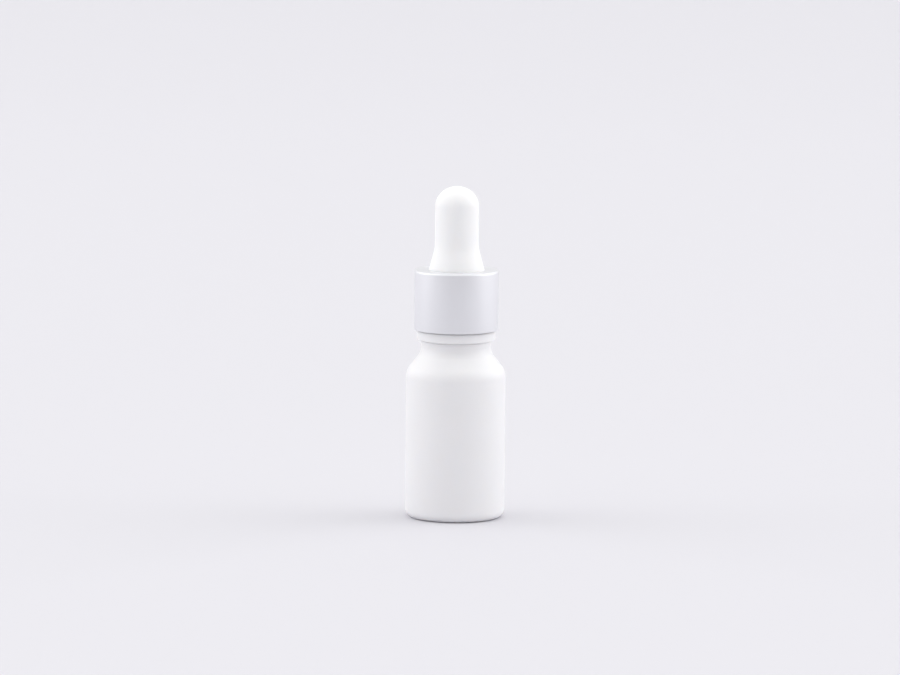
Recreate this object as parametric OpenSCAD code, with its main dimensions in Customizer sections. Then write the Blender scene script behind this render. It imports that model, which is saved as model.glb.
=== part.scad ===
// Dropper bottle: a small glass bottle, closed by a threaded cap that carries a
// squeeze bulb and a glass pipette. Millimetres, +Z up, origin at the middle of the
// base, in the plane that the bottle stands on. The whole closure rises 3 mm a turn.

/* [Bottle] */
// Outer diameter of the body
body_d = 25; // [24.8:0.1:27]
// Height of the bottle from its base to its lip
bottle_h = 58.5; // [58.4:0.1:58.9]
// Height at which the straight wall ends and the shoulder begins
shoulder_z = 35.4; // [35:0.1:35.6]
// Thickness of the glass wall
glass_wall = 1.75; // [1.5:0.05:2]
// Thickness of the glass base
base_t = 2.6; // [2.2:0.1:3]
// Radius of the rounded heel
heel_r = 2.1; // [1.8:0.1:2.3]

/* [Neck] */
// Diameter of the neck where the shoulder runs into it
neck_d = 17.4; // [17.2:0.05:17.6]
// Diameter of the bead
bead_d = 19.7; // [19.4:0.1:20.1]
// Height of the bead's lower face
bead_z = 44.9; // [44.7:0.1:44.9]
// Height of the bead itself
bead_h = 2.45; // [2:0.05:2.45]
// Bore of the neck
mouth_d = 11.5; // [11.3:0.1:11.6]

/* [Thread] */
// Rise in one turn
pitch = 3; // [2.9:0.05:3.1]
// Diameter of the glass neck between the threads
neck_core_d = 15.9; // [15.8:0.1:16]
// Diameter over the glass threads
neck_thread_d = 17.8; // [17.6:0.1:17.9]
// Diameter of the cap's bore between its threads
cap_bore_d = 18.2; // [18.1:0.05:18.3]
// Diameter inside the cap's threads
cap_thread_d = 16.4; // [16.3:0.1:16.6]

/* [Cap] */
// Outer diameter of the shell
cap_d = 21.2; // [21.1:0.1:21.5]
// Height of the shell's lower edge
cap_z = 47.45; // [47.4:0.05:47.7]
// Height of the shell's top face
cap_top = 62.5; // [62.35:0.05:62.6]
// Thickness of the shell
shell_t = 0.45; // [0.4:0.05:0.5]

/* [Bulb] */
// Diameter of the bulb's straight part
bulb_d = 10.95; // [10.8:0.05:11.3]
// Height of the bulb's tip
bulb_top = 83.5; // [82:0.5:85]
// Height at which the bulb begins to flare, going down
flare_z = 69.6; // [69.3:0.1:69.8]
// Thickness of the bulb's wall
bulb_wall = 1.4; // [1.2:0.1:1.5]

/* [Pipette] */
// Outer diameter of the tube
tube_d = 7; // [6.8:0.1:7]
// Thickness of the tube's wall
tube_wall = 1; // [0.8:0.1:1.1]
// Height of the pipette's tip
tip_z = 9; // [8.6:0.1:12]
// Outer diameter at the tip
tip_d = 3; // [2.6:0.1:3.4]
// Bore at the tip
tip_bore = 1.4; // [1:0.1:1.6]

/* [Hidden] */
$fn = 128;

eps = 0.01;                        // how far two joined shapes overlap
fit = 0.05;                        // gap between pieces that only touch
slide_fit = 0.08;                  // radial clearance of the pipette in the wiper
grip_fit = 0.02;                   // radial clearance of the pipette in the bulb

body_r = body_d / 2;
neck_r = neck_d / 2;
bead_r = bead_d / 2;
mouth_r = mouth_d / 2;
core_r = neck_core_d / 2;
tube_r = tube_d / 2;
bulb_r = bulb_d / 2;

// Shoulder: a convex round, a straight slope, and a hollow that runs into the neck
shoulder_r = 4.8;                  // radius of the convex round
slope = 38.6;                      // slope's angle from the vertical
hollow_r = 4;                      // radius of the hollow
round_end = [body_r - shoulder_r * (1 - cos(slope)), shoulder_z + shoulder_r * sin(slope)];
up_slope = [-sin(slope), cos(slope)];
off_slope = [cos(slope), sin(slope)];
corner_len = (round_end[0] - neck_r) / sin(slope);  // slope's length up to the neck's wall
slope_end = round_end + (corner_len - hollow_r * tan(slope / 2)) * up_slope;
hollow_centre = slope_end + hollow_r * off_slope;
neck_ring = 0.08;                  // how far the plain neck stands out over the shoulder's end
groove_h = 0.3;                    // height of the groove under the bead
groove_t = 0.15;                   // depth of that groove
bead_edge = 0.4;                   // round of the bead's edges
lip_edge = 0.5;                    // round of the lip's outer edge
push_up = 0.85;                    // depth of the hollow under the base
ring_in = 8.9;                     // inner radius of the ring that the bottle stands on

// Inside of the bottle
inner_r = body_r - glass_wall;
floor_r = 3;                       // round between the inner wall and the floor
inner_shoulder_r = shoulder_r - glass_wall;
inner_round_end = round_end - glass_wall * off_slope;
inner_slope_end = inner_round_end + 3.9 * up_slope;
throat_z = inner_slope_end[1] + 1.2;  // where the bore of the neck begins

// Wiper: a plug with two sealing ribs
plug_len = 7;
plug_inset = 0.25;                 // gap between the plug and the neck, between the ribs
rib_z = [bottle_h - 1.8, bottle_h - 3.4];
funnel_w = 1.3;                    // how much wider the funnel is than the wiping lip

// Shell's edges
shell_edge = 0.55;                 // round of the top edge, outside
shell_inner_edge = 0.3;            // round under the top face, inside
shell_foot_edge = 0.15;            // round of the lower edge

// Stack of the closure, from the lip upward
rim_t = 0.8;                       // flange of the wiper, on the lip
flange_t = 1.4;                    // flange of the bulb, on the wiper
plate_t = 1.15;                    // top plate of the inner cap, on the bulb's flange
rim_top = bottle_h + rim_t;
flange_top = rim_top + flange_t;
flange_r = 8.6;

// Bulb's flare: an arc tangent to the straight part, then a cone
flare_r = 11.4;
cone_a = 15.4;
flare_end = [bulb_r + flare_r * (1 - cos(cone_a)), flare_z - flare_r * sin(cone_a)];
base_r = flare_end[0] + (flare_end[1] - cap_top) * tan(cone_a);
hole_r = base_r + fit;             // hole in the cap that the bulb comes up through
dome_h = 5.05;                     // height of the slightly flattened dome
chamber_r = bulb_r - bulb_wall;
dome_z = bulb_top - dome_h;
grip_top = flange_top + 3.7;       // top of the bore that grips the pipette
chamber_z = grip_top + 2.4;        // height at which the chamber is straight

// Pipette: a ring at its top end stands over the bulb's grip
ring_r = 3.9;
ring_h = 0.7;
ring_z = grip_top + ring_h / 2 + fit;
tube_top = grip_top + 1.2;
taper_z = 24;                      // height at which the tube begins to narrow
tip_len = 3;                       // straight length of the tip

// Threads. Both helices rise as they turn anticlockwise seen from above.
steps_per_turn = 40;
thread_sink = 0.3;                 // how deep a ridge's foot is sunk into its wall
foot_w = 0.15;                     // how much wider the foot is on each side
fade = 1 / 8;                      // part of a turn in which a ridge sinks away
neck_thread_z = bead_z + 5.3;      // glass thread's centre line where it starts
neck_turns = 1.75;
cap_thread_start = 252;            // angle at which the cap's thread starts
cap_turns = 1.25;

// ---- shared shapes ----

// A rectangle from the axis, or from r0, out to r1
module band(r0, r1, z0, z1) {
    translate([r0, z0])
        square([r1 - r0, z1 - z0]);
}

// A disc of the profile plane, which revolves into a rounded edge or a dome
module disc(centre, r) {
    translate(centre)
        circle(r = r);
}

// A ring section from r0 to r1 whose outer edges are rounded by r
module soft_band(r0, r1, z0, z1, r) {
    band(r0, r1 - r, z0, z1);
    band(r0, r1, z0 + r, z1 - r);
    disc([r1 - r, z0 + r], r);
    disc([r1 - r, z1 - r], r);
}

// Keeps only the half plane that rotate_extrude turns
module half_plane() {
    intersection() {
        children();
        translate([0, -50])
            square([50, 200]);
    }
}

// A helical ridge on a cylinder of radius root. It stands out to crest, is sunk
// into the cylinder behind it, and sinks away at both ends. z0 is its centre line
// where it starts, at angle a0.
module helix_ridge(root, crest, root_w, crest_w, turns, z0, a0) {
    side = sign(crest - root);
    sunk = root - thread_sink * side;
    low = -0.2;
    steps = round(turns * steps_per_turn);
    // from a little under the wall at the very end up to 1
    function height(i) =
        min(1, low + (1 - low) * min(i, steps - i) / (steps_per_turn * fade));
    function half_w(h) = crest_w / 2 + (root_w - crest_w) / 2 * (1 - h);
    function section(h) = [
        [sunk, -root_w / 2 - foot_w],
        [root + (crest - root) * h, -half_w(h)],
        [root + (crest - root) * h, half_w(h)],
        [sunk, root_w / 2 + foot_w]
    ];
    sides = 4;
    points = [
        for (i = [0:steps])
            let (a = a0 + 360 * i / steps_per_turn, rise = z0 + pitch * i / steps_per_turn)
            for (p = section(height(i)))
                [p[0] * cos(a), p[0] * sin(a), rise + p[1]]
    ];
    walls = [
        for (i = [0:steps - 1], k = [0:sides - 1])
            let (a = i * sides + k, b = i * sides + (k + 1) % sides)
            each [[a, b, a + sides], [b, b + sides, a + sides]]
    ];
    first_end = [for (k = [sides - 1:-1:0]) k];
    last_end = [for (k = [0:sides - 1]) steps * sides + k];
    outward = concat(walls, [first_end, last_end]);
    inward = [for (f = outward) [for (k = [len(f) - 1:-1:0]) f[k]]];
    polyhedron(points, side > 0 ? outward : inward, convexity = 10);
}

// ---- bottle: glass body, shoulder, bead and threaded finish ----

module bottle_outline() {
    // body and shoulder
    difference() {
        union() {
            polygon([
                [0, 0], [body_r - heel_r, 0], [body_r, heel_r], [body_r, shoulder_z],
                round_end, slope_end, [neck_r, hollow_centre[1]], [0, hollow_centre[1]]
            ]);
            disc([body_r - heel_r, heel_r], heel_r);
            disc([body_r - shoulder_r, shoulder_z], shoulder_r);
        }
        disc(hollow_centre, hollow_r);
    }
    // plain neck, with a groove under the bead
    band(0, neck_r, shoulder_z, hollow_centre[1] + eps);
    band(0, neck_r + neck_ring, hollow_centre[1], bead_z - groove_h);
    band(0, neck_r - groove_t, hollow_centre[1], bead_z + eps);
    // bead, finish and lip
    soft_band(core_r - 2, bead_r, bead_z, bead_z + bead_h, bead_edge);
    band(0, core_r, bead_z, bottle_h - lip_edge);
    soft_band(mouth_r, core_r, bottle_h - 2, bottle_h, lip_edge);
}

module bottle_hollow() {
    polygon([
        [0, base_t], [inner_r - floor_r, base_t], [inner_r, base_t + floor_r],
        [inner_r, shoulder_z], inner_round_end, inner_slope_end,
        [mouth_r, throat_z], [0, throat_z]
    ]);
    disc([inner_r - floor_r, base_t + floor_r], floor_r);
    disc([body_r - shoulder_r, shoulder_z], inner_shoulder_r);
    band(0, mouth_r, shoulder_z, bottle_h + 1);
}

module bottle() {
    color("white") {
        difference() {
            rotate_extrude()
                bottle_outline();
            rotate_extrude()
                half_plane()
                    bottle_hollow();
            // shallow push-up under the base
            rotate_extrude()
                polygon([
                    [0, -1], [ring_in, -1], [ring_in, 0], [ring_in - 1.2, 0.7 * push_up],
                    [0, push_up]
                ]);
        }
        helix_ridge(
            root = core_r, crest = neck_thread_d / 2, root_w = 2, crest_w = 0.9,
            turns = neck_turns, z0 = neck_thread_z, a0 = 0
        );
    }
}

// ---- wiper: soft plug in the mouth, which guides and wipes the pipette ----

module wiper() {
    rib_r = mouth_r - fit;
    plug_r = mouth_r - fit - plug_inset;
    plug_end = bottle_h - plug_len;
    lip_r = tube_r + slide_fit;
    color("gainsboro")
        rotate_extrude()
            difference() {
                union() {
                    soft_band(lip_r, core_r - plug_inset, bottle_h, rim_top, 0.2);
                    band(lip_r, plug_r, plug_end + 1, bottle_h + eps);
                    // tapered lower end
                    polygon([
                        [lip_r, plug_end], [lip_r + 0.5, plug_end], [plug_r, plug_end + 2],
                        [plug_r, plug_end + 3], [lip_r, plug_end + 3]
                    ]);
                    // sealing ribs
                    for (z = rib_z)
                        polygon([
                            [plug_r - 0.15, z - 0.4], [rib_r, z], [rib_r, z + 0.2],
                            [plug_r - 0.15, z + 0.6]
                        ]);
                }
                // funnel that leads down to the wiping lip
                polygon([
                    [0, rim_top + 1], [lip_r + funnel_w, rim_top + 1],
                    [lip_r + funnel_w, plug_end + 2.4], [lip_r, plug_end + 0.7],
                    [0, plug_end + 0.7]
                ]);
            }
}

// ---- pipette: glass tube with a tapered tip ----

module tube_profile(r, tip_r, z0, z1) {
    polygon([
        [0, z0], [tip_r, z0], [tip_r, tip_z + tip_len], [r, taper_z], [r, z1], [0, z1]
    ]);
}

module pipette() {
    tip_r = tip_d / 2;
    edge = 0.35;
    color("lightcyan")
        rotate_extrude()
            difference() {
                union() {
                    tube_profile(tube_r, tip_r, tip_z + edge, tube_top - edge);
                    soft_band(0, tip_r, tip_z, tip_z + tip_len, edge);
                    soft_band(0, tube_r, tube_top - 3, tube_top, edge);
                    soft_band(0, ring_r, ring_z - ring_h / 2, ring_z + ring_h / 2, 0.34);
                }
                tube_profile(tube_r - tube_wall, tip_bore / 2, tip_z - 1, tube_top + 1);
            }
}

// ---- inner cap: threaded collar that presses the bulb's flange on the lip ----

module inner_cap() {
    outer_r = cap_d / 2 - shell_t - fit;
    bore_r = cap_bore_d / 2;
    skirt_z = cap_z + 0.35;
    plate_top = flange_top + plate_t;
    glass_z = neck_thread_z + pitch * cap_thread_start / 360;
    color("white") {
        difference() {
            rotate_extrude()
                soft_band(hole_r, outer_r, skirt_z, plate_top, 0.3);
            rotate_extrude() {
                band(0, bore_r, skirt_z - 1, flange_top);
                polygon([
                    [bore_r - 1, skirt_z - 1], [bore_r + 0.5, skirt_z - 1],
                    [bore_r + 0.5, skirt_z], [bore_r, skirt_z + 0.6], [bore_r - 1, skirt_z + 0.6]
                ]);
            }
        }
        // half a pitch below the glass thread's next turn
        helix_ridge(
            root = bore_r, crest = cap_thread_d / 2, root_w = 1.8, crest_w = 0.7,
            turns = cap_turns, z0 = glass_z - pitch / 2, a0 = cap_thread_start
        );
    }
}

// ---- shell: smooth outer cover of the cap ----

module cap_shell() {
    outer_r = cap_d / 2;
    inner_r = outer_r - shell_t;
    color("white")
        rotate_extrude()
            difference() {
                union() {
                    soft_band(hole_r, outer_r, cap_z, cap_z + 4, shell_foot_edge);
                    soft_band(hole_r, outer_r, cap_z + 1, cap_top, shell_edge);
                }
                soft_band(0, inner_r, cap_z - 1, cap_top - shell_t, shell_inner_edge);
            }
}

// ---- bulb: soft teat with a flange, closed at the top ----

// The upper half of an ellipse, as tall as h
module dome(r, h) {
    translate([0, dome_z])
        scale([1, h / r])
            circle(r = r);
}

module bulb_outline() {
    difference() {
        polygon([
            [0, flange_top - 0.5], [base_r, flange_top - 0.5], [base_r, cap_top], flare_end,
            [bulb_r, flare_z], [bulb_r, dome_z], [0, dome_z]
        ]);
        disc([bulb_r + flare_r, flare_z], flare_r);
    }
    dome(bulb_r, dome_h);
    soft_band(0, flange_r, rim_top, flange_top, 0.3);
}

module bulb_chamber() {
    band(0, tube_r + grip_fit, rim_top - 1, grip_top + eps);
    polygon([
        [0, grip_top], [chamber_r + 0.4, grip_top], [chamber_r + 0.4, grip_top + 1.2],
        [chamber_r, chamber_z], [chamber_r, dome_z], [0, dome_z]
    ]);
    dome(chamber_r, dome_h - bulb_wall);
}

module bulb() {
    color("white")
        difference() {
            rotate_extrude()
                half_plane()
                    bulb_outline();
            rotate_extrude()
                half_plane()
                    bulb_chamber();
        }
}

bottle();
wiper();
pipette();
inner_cap();
cap_shell();
bulb();
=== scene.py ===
import math

import bpy
from mathutils import Euler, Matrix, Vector


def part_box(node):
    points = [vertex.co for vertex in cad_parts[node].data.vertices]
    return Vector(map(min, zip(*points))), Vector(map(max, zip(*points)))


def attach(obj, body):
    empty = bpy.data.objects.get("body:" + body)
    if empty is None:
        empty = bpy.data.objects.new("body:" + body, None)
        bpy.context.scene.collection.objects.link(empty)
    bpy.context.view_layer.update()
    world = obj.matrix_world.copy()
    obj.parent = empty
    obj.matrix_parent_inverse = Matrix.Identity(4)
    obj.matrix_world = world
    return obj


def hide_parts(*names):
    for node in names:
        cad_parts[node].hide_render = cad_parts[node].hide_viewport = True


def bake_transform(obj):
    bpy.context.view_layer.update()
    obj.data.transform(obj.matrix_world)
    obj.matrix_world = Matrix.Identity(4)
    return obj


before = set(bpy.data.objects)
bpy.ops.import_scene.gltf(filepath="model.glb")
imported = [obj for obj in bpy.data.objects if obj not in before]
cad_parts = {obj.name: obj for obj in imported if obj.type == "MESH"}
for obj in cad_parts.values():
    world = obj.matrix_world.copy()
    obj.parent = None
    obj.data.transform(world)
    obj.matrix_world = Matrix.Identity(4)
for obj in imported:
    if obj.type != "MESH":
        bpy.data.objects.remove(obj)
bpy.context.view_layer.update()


# ---- sizes, from the CAD nodes' own boxes ----

def top(node):
    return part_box(node)[1].z * 1000


def bottom(node):
    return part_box(node)[0].z * 1000


def radius(node):
    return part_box(node)[1].x * 1000


BODY_R = radius("bottle")
LIP_Z = top("bottle")
CAP_R = radius("cap_shell")
CAP_Z = bottom("cap_shell")
CAP_TOP = top("cap_shell")
PLATE_TOP = top("inner_cap")
SKIRT_Z = bottom("inner_cap")
INNER_CAP_R = radius("inner_cap")
RIM_TOP = top("wiper")
PLUG_END = bottom("wiper")
BULB_TOP = top("bulb")
FLANGE_R = radius("bulb")
TUBE_TOP = top("pipette")
TIP_Z = bottom("pipette")
RING_R = radius("pipette")

# Sizes inside a node's box, as the CAD model has them
PUSH_UP = 0.85
RING_IN = 8.9
HEEL_R = 2.1
SHOULDER_Z = 35.4
SHOULDER_R = 4.8
SLOPE = math.radians(38.6)
HOLLOW_R = 4
NECK_R = 8.7
NECK_RING_R = 8.78
GROOVE_R = 8.55
GROOVE_H = 0.3
BEAD_R = 9.85
BEAD_Z = 44.9
BEAD_TOP = 47.35
CORE_R = 7.95
THREAD_R = 8.9
THREAD_Z = 50.2
THREAD_TURNS = 1.75
MOUTH_R = 5.75
GLASS_WALL = 1.75
BASE_T = 2.6
FLOOR_R = 3
INNER_SLOPE_LEN = 3.9
PLUG_GAP = 0.3
WIPER_GAP = 0.08
FUNNEL_W = 1.3
PITCH = 3
CAP_BORE_R = 9.1
CAP_THREAD_R = 8.2
CAP_THREAD_START = math.radians(252)
CAP_THREAD_TURNS = 1.25
SHELL_T = 0.45
SHELL_EDGE = 0.55
SHELL_FOOT_EDGE = 0.15
BULB_R = 5.475
DOME_H = 5.05
FLARE_Z = 69.6
FLARE_R = 11.4
FLARE_A = math.radians(15.4)
BULB_WALL = 1.4
GRIP_GAP = 0.02
TUBE_R = 3.5
TUBE_BORE_R = 2.5
TIP_R = 1.5
TIP_BORE_R = 0.7
TAPER_Z = 24
TIP_LEN = 3

FLARE_END = (BULB_R + FLARE_R * (1 - math.cos(FLARE_A)), FLARE_Z - FLARE_R * math.sin(FLARE_A))
BULB_BASE_R = FLARE_END[0] + (FLARE_END[1] - CAP_TOP) * math.tan(FLARE_A)
HOLE_R = BULB_BASE_R + 0.05
FLANGE_TOP = RIM_TOP + 1.4         # top of the bulb's flange
GRIP_TOP = FLANGE_TOP + 3.7        # top of the bore that grips the pipette


# ---- profiles: lists of (radius, height), solid on the left as they go ----

def arc(centre_r, centre_z, r, start, end, steps=8):
    """Points of an arc; start and end are angles in degrees."""
    angles = [math.radians(start + (end - start) * i / steps) for i in range(steps + 1)]
    return [(centre_r + r * math.cos(a), centre_z + r * math.sin(a)) for a in angles]


def oval(z, r, h, steps=20):
    """Quarter of an ellipse, from its widest point at height z to its top on the axis."""
    angles = [math.pi / 2 * i / steps for i in range(steps)]
    return [(r * math.cos(a), z + h * math.sin(a)) for a in angles] + [(0, z + h)]


def rounded(points, cuts, steps=5):
    """The points with corner i cut back by cuts[i] and rounded."""
    out = []
    for i, p in enumerate(points):
        cut = cuts.get(i, 0)
        if not cut:
            out.append(p)
            continue
        here = Vector(p)
        before, after = Vector(points[i - 1]), Vector(points[(i + 1) % len(points)])
        a = here + (before - here).normalized() * cut
        b = here + (after - here).normalized() * cut
        for k in range(steps + 1):
            t = k / steps
            q = a * (1 - t) ** 2 + here * 2 * t * (1 - t) + b * t ** 2
            out.append((q.x, q.y))
    return out


def lathe(name, profile, columns=192, relief=None, closed=True):
    """A mesh from a profile turned about Z.

    The profile runs on from its last point to its first, unless closed is False.
    relief(r, z, angle) gives the radius to add at a point.
    """
    verts, rings = [], []
    for r, z in profile:
        if r < 1e-6:
            rings.append([len(verts)] * columns)
            verts.append((0, 0, mm(z)))
            continue
        rings.append(range(len(verts), len(verts) + columns))
        for k in range(columns):
            a = 2 * math.pi * k / columns
            grown = mm(r + (relief(r, z, a) if relief else 0))
            verts.append((grown * math.cos(a), grown * math.sin(a), mm(z)))
    faces = []
    for i in range(len(rings) - (0 if closed else 1)):
        low, high = rings[i], rings[(i + 1) % len(rings)]
        if low[0] == low[1] and high[0] == high[1]:
            continue
        for k in range(columns):
            n = (k + 1) % columns
            face = [low[k], low[n], high[n], high[k]]
            faces.append([v for j, v in enumerate(face) if v != face[j - 1]])
    mesh = bpy.data.meshes.new(name)
    mesh.from_pydata(verts, [], faces)
    mesh.polygons.foreach_set("use_smooth", [True] * len(mesh.polygons))
    mesh.set_sharp_from_angle(angle=math.radians(40))
    obj = bpy.data.objects.new(name, mesh)
    bpy.context.scene.collection.objects.link(obj)
    return obj


def mm(x):
    """Millimetres to metres."""
    return x * 0.001


def smooth_step(x):
    """Goes from 0 to 1 with x, level at both ends."""
    x = min(1, max(0, x))
    return x * x * (3 - 2 * x)


def ridge(z, angle, root_w, crest_w, start_z, start_angle, turns):
    """How far up a helical ridge's flank (0 root, 1 crest) a point at this angle and height is."""
    best = 0
    for lap in range(-1, int(turns) + 2):
        turned = (angle - start_angle) / (2 * math.pi) + lap
        if not 0 <= turned <= turns:
            continue
        off = abs(z - start_z - PITCH * turned)
        flank = (root_w / 2 - off) / ((root_w - crest_w) / 2)
        fade = min(turned, turns - turned) * 8
        best = max(best, smooth_step(flank) * smooth_step(fade))
    return best


def rows(z0, z1, step=0.13):
    """Evenly spaced heights from z0 to z1."""
    n = max(1, round(abs(z1 - z0) / step))
    return [z0 + (z1 - z0) * i / n for i in range(n + 1)]


# ---- materials ----

class Paint:
    """A node material with one Principled shader, and short calls for its parts."""

    def __init__(self, name, color, roughness, **sockets):
        self.material = bpy.data.materials.new(name)
        self.material.use_nodes = True
        self.tree = self.material.node_tree
        self.shader = self.tree.nodes["Principled BSDF"]
        self.shader.inputs["Base Color"].default_value = (*color, 1)
        self.shader.inputs["Roughness"].default_value = roughness
        for key, value in sockets.items():
            self.shader.inputs[key.replace("_", " ")].default_value = value
        self.place = self.node("ShaderNodeTexCoord").outputs["Object"]

    def node(self, kind, **sockets):
        made = self.tree.nodes.new(kind)
        for key, value in sockets.items():
            made.inputs[key.replace("_", " ")].default_value = value
        return made

    def link(self, a, b):
        self.tree.links.new(a, b)

    def noise(self, scale, detail=3, squeeze=1):
        """Noise whose grains are squeezed along Z, or drawn out where squeeze is under 1."""
        made = self.node("ShaderNodeTexNoise", Scale=scale, Detail=detail)
        stretch = self.node("ShaderNodeMapping", Scale=(1, 1, squeeze))
        self.link(self.place, stretch.inputs["Vector"])
        self.link(stretch.outputs["Vector"], made.inputs["Vector"])
        return made.outputs["Fac"]

    def between(self, value, low, high):
        """Maps a noise's middle range, 0.3 to 0.7, to low and high."""
        made = self.node("ShaderNodeMapRange", From_Min=0.3, From_Max=0.7, To_Min=low, To_Max=high)
        self.link(value, made.inputs["Value"])
        return made.outputs["Result"]

    def tint(self, value, low, high):
        """Base colour that goes from low to high with value."""
        made = self.node("ShaderNodeMix")
        made.data_type = "RGBA"
        factor, first, second, result = made.inputs[0], made.inputs[6], made.inputs[7], made.outputs[2]
        self.link(value, factor)
        first.default_value = (*low, 1)
        second.default_value = (*high, 1)
        self.link(result, self.shader.inputs["Base Color"])

    def rough(self, value, low, high):
        self.link(self.between(value, low, high), self.shader.inputs["Roughness"])

    def bump(self, *layers):
        """Bump from (height, strength, distance in mm) layers, one over the other."""
        normal = None
        for height, strength, distance in layers:
            made = self.node("ShaderNodeBump", Strength=strength, Distance=mm(distance))
            self.link(height, made.inputs["Height"])
            if normal:
                self.link(normal, made.inputs["Normal"])
            normal = made.outputs["Normal"]
        self.link(normal, self.shader.inputs["Normal"])


def grey(v):
    return (v, v, v)


def coated_glass():
    """Opaque matt white spray coat over glass: fine orange peel, a soft sheen."""
    paint = Paint(
        "coated_glass", grey(0.868), 0.45, Subsurface_Weight=0.3, Subsurface_Scale=0.002,
        Subsurface_Radius=(1.0, 0.9, 0.8),
    )
    cloud = paint.noise(90, detail=4)
    paint.tint(paint.between(cloud, 0, 1), (0.862, 0.857, 0.864), (0.875, 0.87, 0.877))
    paint.rough(paint.noise(700, detail=4), 0.38, 0.46)
    paint.bump((paint.noise(1400, detail=2), 0.35, 0.01), (paint.noise(5200, detail=2), 0.25, 0.004))
    return paint.material


def shell_metal():
    """Smooth satin white shell, with a trace of drawing marks round it."""
    paint = Paint(
        "shell_metal", grey(0.81), 0.42, Metallic=0.65, Anisotropic=0.4, Anisotropic_Rotation=0.25
    )
    paint.tint(paint.between(paint.noise(60), 0, 1), (0.805, 0.807, 0.835), (0.815, 0.817, 0.845))
    marks = paint.noise(160, squeeze=60)
    paint.rough(marks, 0.4, 0.44)
    paint.bump((marks, 0.02, 0.002), (paint.noise(3000, detail=2), 0.08, 0.002))
    return paint.material


def silicone():
    """Soft matt white silicone that lets a little light in."""
    paint = Paint(
        "silicone", grey(0.95), 0.5, Subsurface_Weight=0.35, Subsurface_Scale=0.0012,
        Subsurface_Radius=(1.0, 0.9, 0.8),
    )
    paint.tint(paint.between(paint.noise(120, detail=4), 0, 1), grey(0.945), grey(0.955))
    paint.rough(paint.noise(900, detail=4), 0.45, 0.55)
    paint.bump((paint.noise(2600, detail=3), 0.3, 0.006), (paint.noise(300, detail=2), 0.15, 0.01))
    return paint.material


def cap_plastic():
    """Moulded white polypropylene."""
    paint = Paint(
        "cap_plastic", grey(0.84), 0.4, Subsurface_Weight=0.2, Subsurface_Scale=0.001,
        Subsurface_Radius=(1.0, 0.95, 0.9),
    )
    paint.tint(paint.between(paint.noise(150), 0, 1), grey(0.83), grey(0.85))
    paint.rough(paint.noise(1200), 0.34, 0.46)
    paint.bump((paint.noise(2200, detail=3), 0.2, 0.005))
    return paint.material


def soft_plastic():
    """Milky polyethylene."""
    paint = Paint(
        "soft_plastic", grey(0.82), 0.35, Subsurface_Weight=0.6, Subsurface_Scale=0.002,
        Subsurface_Radius=(1.0, 1.0, 0.95),
    )
    paint.tint(paint.between(paint.noise(200), 0, 1), grey(0.81), grey(0.83))
    paint.rough(paint.noise(1500), 0.3, 0.42)
    paint.bump((paint.noise(2500, detail=2), 0.15, 0.004))
    return paint.material


def clear_glass():
    """Drawn glass tube, with the faint ripple of its drawing."""
    paint = Paint("clear_glass", (0.97, 0.985, 0.98), 0.02, Transmission_Weight=1.0, IOR=1.47)
    paint.bump((paint.noise(500, detail=2, squeeze=0.12), 0.02, 0.001))
    return paint.material


def finish_piece(obj, node, material, body=None):
    """Gives a piece its material, rides it on a body and lets it stand for its CAD node."""
    obj.data.materials.append(material)
    if body:
        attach(obj, body)
    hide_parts(node)
    return obj


# ---- the six pieces ----

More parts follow.
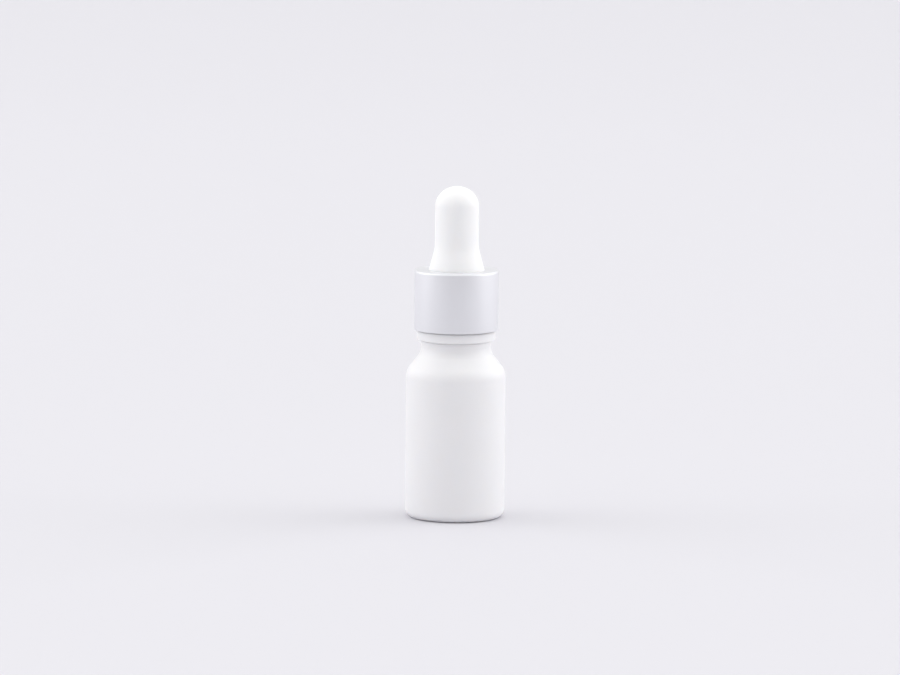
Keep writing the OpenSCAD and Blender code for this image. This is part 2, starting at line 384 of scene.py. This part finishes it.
def bottle_piece():
    heel = BODY_R - HEEL_R
    round_end = (
        BODY_R - SHOULDER_R * (1 - math.cos(SLOPE)), SHOULDER_Z + SHOULDER_R * math.sin(SLOPE)
    )
    up = Vector((-math.sin(SLOPE), math.cos(SLOPE)))
    off = Vector((math.cos(SLOPE), math.sin(SLOPE)))
    corner_len = (round_end[0] - NECK_R) / math.sin(SLOPE)
    slope_end = Vector(round_end) + (corner_len - HOLLOW_R * math.tan(SLOPE / 2)) * up
    hollow = slope_end + HOLLOW_R * off
    slope_deg = math.degrees(SLOPE)
    inner_r = BODY_R - GLASS_WALL
    inner_round_end = Vector(round_end) - GLASS_WALL * off
    inner_slope_end = inner_round_end + INNER_SLOPE_LEN * up
    thread = rows(THREAD_Z - 1.5, THREAD_Z + 6.8)
    foot = rounded(
        [(0, PUSH_UP), (RING_IN - 1.2, PUSH_UP - 0.25), (RING_IN, 0), (heel, 0)], {1: 0.4, 2: 0.35}
    )
    wall = arc(heel, HEEL_R, HEEL_R, -90, 0, 10)[1:]
    shoulder = arc(BODY_R - SHOULDER_R, SHOULDER_Z, SHOULDER_R, 0, slope_deg, 16)
    dip = arc(hollow.x, hollow.y, HOLLOW_R, 180 + slope_deg, 180, 12)
    neck = rounded(
        [(NECK_R, hollow.y), (NECK_RING_R, hollow.y), (NECK_RING_R, BEAD_Z - GROOVE_H),
         (GROOVE_R, BEAD_Z - GROOVE_H), (GROOVE_R, BEAD_Z), (BEAD_R, BEAD_Z), (BEAD_R, BEAD_TOP),
         (CORE_R, BEAD_TOP), (CORE_R, THREAD_Z - 1.6)],
        {1: 0.04, 2: 0.08, 3: 0.06, 4: 0.06, 5: 0.4, 6: 0.5, 7: 0.25},
    )
    finish = [(CORE_R, z) for z in thread]
    outer, inner = 0.5, 0.4
    lip = arc(CORE_R - outer, LIP_Z - outer, outer, 0, 90, 6) + arc(
        MOUTH_R + inner, LIP_Z - inner, inner, 90, 180, 6
    )
    inside = rounded(
        [(MOUTH_R, LIP_Z - 1), (MOUTH_R, inner_slope_end.y + 1.2), tuple(inner_slope_end),
         tuple(inner_round_end), (inner_r, SHOULDER_Z)],
        {1: 0.9, 2: 0.5, 3: 1.2},
    )
    floor = arc(inner_r - FLOOR_R, BASE_T + FLOOR_R, FLOOR_R, 0, -90, 10) + [(0, BASE_T)]
    profile = foot + wall + shoulder + dip[1:] + neck[1:] + finish + lip + inside + floor

    def relief(r, z, angle):
        if abs(r - CORE_R) > 1e-6 or not thread[0] <= z <= thread[-1]:
            return 0
        up = ridge(z, angle, root_w=2.1, crest_w=0.7, start_z=THREAD_Z, start_angle=0, turns=THREAD_TURNS)
        return (THREAD_R - CORE_R) * up

    obj = lathe("bottle_glass", profile, relief=relief)
    return finish_piece(obj, "bottle", coated_glass(), "bottle")


def wiper_piece():
    plug_r = MOUTH_R - PLUG_GAP
    hole_r = TUBE_R + WIPER_GAP
    funnel_r = hole_r + FUNNEL_W
    rim_r = CORE_R - 0.25
    ribs = []
    for z in (LIP_Z - 3.4, LIP_Z - 1.8):
        ribs += arc(plug_r - 0.05, z + 0.1, 0.3, -80, 80, 6)
    profile = rounded(
        [(hole_r, PLUG_END), (hole_r + 0.5, PLUG_END), (plug_r, PLUG_END + 2)], {1: 0.15, 2: 0.3}
    ) + ribs + rounded(
        [(plug_r, LIP_Z), (rim_r, LIP_Z), (rim_r, RIM_TOP), (funnel_r, RIM_TOP),
         (funnel_r, PLUG_END + 2.4), (hole_r, PLUG_END + 0.7)],
        {1: 0.2, 2: 0.2, 3: 0.25, 4: 0.4, 5: 0.2},
    )
    obj = lathe("wiper_plug", profile)
    return finish_piece(obj, "wiper", soft_plastic(), "bottle")


def pipette_piece():
    ring_z = GRIP_TOP + 0.4
    outside = arc(TIP_R - 0.3, TIP_Z + 0.3, 0.3, -90, 0, 5) + rounded(
        [(TIP_R, TIP_Z + 1), (TIP_R, TIP_Z + TIP_LEN), (TUBE_R, TAPER_Z), (TUBE_R, ring_z - 0.6)],
        {1: 1.6, 2: 3}, steps=10,
    )
    ring = arc(TUBE_R + 0.05, ring_z, RING_R - TUBE_R - 0.05, -80, 80, 8)
    mouth = arc(TUBE_R - 0.3, TUBE_TOP - 0.3, 0.3, 0, 90, 4) + arc(
        TUBE_BORE_R + 0.3, TUBE_TOP - 0.3, 0.3, 90, 180, 4
    )
    bore = rounded(
        [(TUBE_BORE_R, TUBE_TOP - 1), (TUBE_BORE_R, TAPER_Z), (TIP_BORE_R, TIP_Z + TIP_LEN),
         (TIP_BORE_R, TIP_Z + 0.2)],
        {1: 3, 2: 1.6}, steps=10,
    ) + arc(TIP_BORE_R + 0.2, TIP_Z + 0.2, 0.2, 180, 270, 4)
    obj = lathe("glass_tube", outside + ring + mouth + bore, columns=96)
    return finish_piece(obj, "pipette", clear_glass(), "dropper")


def inner_cap_piece():
    thread = rows(FLANGE_TOP - 5, SKIRT_Z + 1.4)
    # half a pitch below the glass thread's next turn
    start_z = THREAD_Z + PITCH * CAP_THREAD_START / (2 * math.pi) - PITCH / 2
    # a hair above the bulb's flange, so that the two never cut each other as the cap turns
    under = FLANGE_TOP + 0.03
    bore = [(HOLE_R, under), (CAP_BORE_R, under)] + [(CAP_BORE_R, z) for z in thread]
    outside = rounded(
        [(CAP_BORE_R, SKIRT_Z + 0.6), (CAP_BORE_R + 0.5, SKIRT_Z), (INNER_CAP_R, SKIRT_Z),
         (INNER_CAP_R, PLATE_TOP), (HOLE_R, PLATE_TOP)],
        {1: 0.15, 2: 0.25, 3: 0.3, 4: 0.15},
    )

    def relief(r, z, angle):
        if abs(r - CAP_BORE_R) > 1e-6 or not thread[-1] <= z <= thread[0]:
            return 0
        up = ridge(
            z, angle, root_w=1.9, crest_w=0.6, start_z=start_z, start_angle=CAP_THREAD_START,
            turns=CAP_THREAD_TURNS,
        )
        return (CAP_THREAD_R - CAP_BORE_R) * up

    obj = lathe("threaded_inner_cap", (bore + outside)[::-1], relief=relief)
    return finish_piece(obj, "inner_cap", cap_plastic(), "cap")


def shell_piece():
    foot, edge = SHELL_FOOT_EDGE, SHELL_EDGE
    under = CAP_TOP - SHELL_T
    profile = (
        [(CAP_R - SHELL_T, CAP_Z)] + arc(CAP_R - foot, CAP_Z + foot, foot, -90, 0, 5)
        + arc(CAP_R - edge, CAP_TOP - edge, edge, 0, 90, 8)
        + rounded([(HOLE_R, CAP_TOP), (HOLE_R, under), (CAP_R - SHELL_T, under)], {0: 0.12, 2: 0.3})
    )
    obj = lathe("cap_cover", profile)
    return finish_piece(obj, "cap_shell", shell_metal(), "cap")


def bulb_piece():
    dome_z = BULB_TOP - DOME_H
    chamber_r = BULB_R - BULB_WALL
    grip_r = TUBE_R + GRIP_GAP
    slope = (FLARE_END[0] - BULB_BASE_R) / (FLARE_END[1] - CAP_TOP)
    flange = rounded(
        [(grip_r, RIM_TOP), (FLANGE_R, RIM_TOP), (FLANGE_R, FLANGE_TOP),
         (BULB_BASE_R, FLANGE_TOP), (BULB_BASE_R, CAP_TOP)],
        {0: 0.3, 1: 0.4, 2: 0.4},
    )
    cone = [(BULB_BASE_R + slope * (z - CAP_TOP), z) for z in rows(CAP_TOP, FLARE_END[1], 0.5)[1:-1]]
    angle = math.degrees(FLARE_A)
    flare = arc(BULB_R + FLARE_R, FLARE_Z, FLARE_R, 180 + angle, 180, 8)
    straight = [(BULB_R, z) for z in rows(FLARE_Z, dome_z, 0.5)[1:-1]]
    dome = oval(dome_z, BULB_R, DOME_H)
    chamber = oval(dome_z, chamber_r, DOME_H - BULB_WALL)[::-1]
    inside = [(chamber_r, z) for z in rows(dome_z, GRIP_TOP + 2.4, 0.5)[1:]] + [
        (chamber_r + 0.4, GRIP_TOP + 1.2), (chamber_r + 0.4, GRIP_TOP), (grip_r, GRIP_TOP)
    ]
    obj = lathe("silicone_bulb", flange + cone + flare + straight + dome + chamber + inside)
    finish_piece(obj, "bulb", silicone())
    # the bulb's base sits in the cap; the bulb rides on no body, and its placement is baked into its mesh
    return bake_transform(obj)


# ---- studio ----

def studio_floor():
    """A pale sweep: flat under the bottle, and curving up all round, far behind everything."""
    flat, bend, tilt = 1000, 2000, 37
    sweep = arc(flat, bend, bend, tilt - 90, -90, 24) + [(r, 0) for r in (600, 300, 120, 40, 0)]
    obj = lathe("sweep", sweep, columns=96, closed=False)
    obj.data.materials.append(Paint("sweep_paint", (0.675, 0.667, 0.704), 0.7).material)


def far_light(name, azimuth, height, strength, spread):
    """A big, distant softbox. azimuth goes anticlockwise from +X, and all angles are in degrees."""
    data = bpy.data.lights.new(name, "SUN")
    data.energy = math.pi * strength
    data.angle = math.radians(spread)
    obj = bpy.data.objects.new(name, data)
    bpy.context.scene.collection.objects.link(obj)
    a, h = math.radians(azimuth), math.radians(height)
    toward = Vector((math.cos(a) * math.cos(h), math.sin(a) * math.cos(h), math.sin(h)))
    obj.rotation_euler = toward.to_track_quat("Z", "Y").to_euler()


def lights():
    """A white studio, dark behind the camera, with softboxes on both sides and one in front."""
    world = bpy.data.worlds.new("studio")
    world.use_nodes = True
    bpy.context.scene.world = world
    tree = world.node_tree
    sky = tree.nodes["Background"]
    sky.inputs["Color"].default_value = (1, 1, 1, 1)
    direction = tree.nodes.new("ShaderNodeTexCoord").outputs["Generated"]
    split = tree.nodes.new("ShaderNodeSeparateXYZ")
    tree.links.new(direction, split.inputs[0])

    # Y goes from -1 behind the camera to 1 behind the bottle
    ramp = tree.nodes.new("ShaderNodeMapRange")
    ramp.interpolation_type = "SMOOTHSTEP"
    for key, number in (("From Min", -1.05), ("From Max", -0.5), ("To Min", 0), ("To Max", 0.88)):
        ramp.inputs[key].default_value = number
    tree.links.new(split.outputs["Y"], ramp.inputs["Value"])
    tree.links.new(ramp.outputs["Result"], sky.inputs["Strength"])
    far_light("right_box", azimuth=-4, height=36, strength=0.05, spread=40)
    far_light("left_box", azimuth=184, height=36, strength=0.05, spread=40)
    far_light("low_right_box", azimuth=16, height=16, strength=0.36, spread=60)
    far_light("low_left_box", azimuth=164, height=16, strength=0.275, spread=60)
    far_light("front_box", azimuth=-90, height=72, strength=0.205, spread=90)


def camera():
    """A long lens from the front, a little above, with a slight roll."""
    distance, height = 1.5, 0.241
    data = bpy.data.cameras.new("camera")
    data.sensor_width = 36
    data.lens = 241.2
    data.clip_start = 0.01
    data.clip_end = 20
    obj = bpy.data.objects.new("camera", data)
    bpy.context.scene.collection.objects.link(obj)
    obj.location = (0, -distance, height)
    aim = Vector((-0.00153, 0, 0.04533))
    turn = (aim - obj.location).to_track_quat("-Z", "Y")
    roll = Euler((0, 0, math.radians(0.45))).to_quaternion()
    obj.rotation_euler = (turn @ roll).to_euler()
    bpy.context.scene.camera = obj


def look():
    view = bpy.context.scene.view_settings
    view.view_transform = "Standard"
    view.look = "None"


bottle_piece()
wiper_piece()
pipette_piece()
inner_cap_piece()
shell_piece()
bulb_piece()
studio_floor()
lights()
camera()
look()
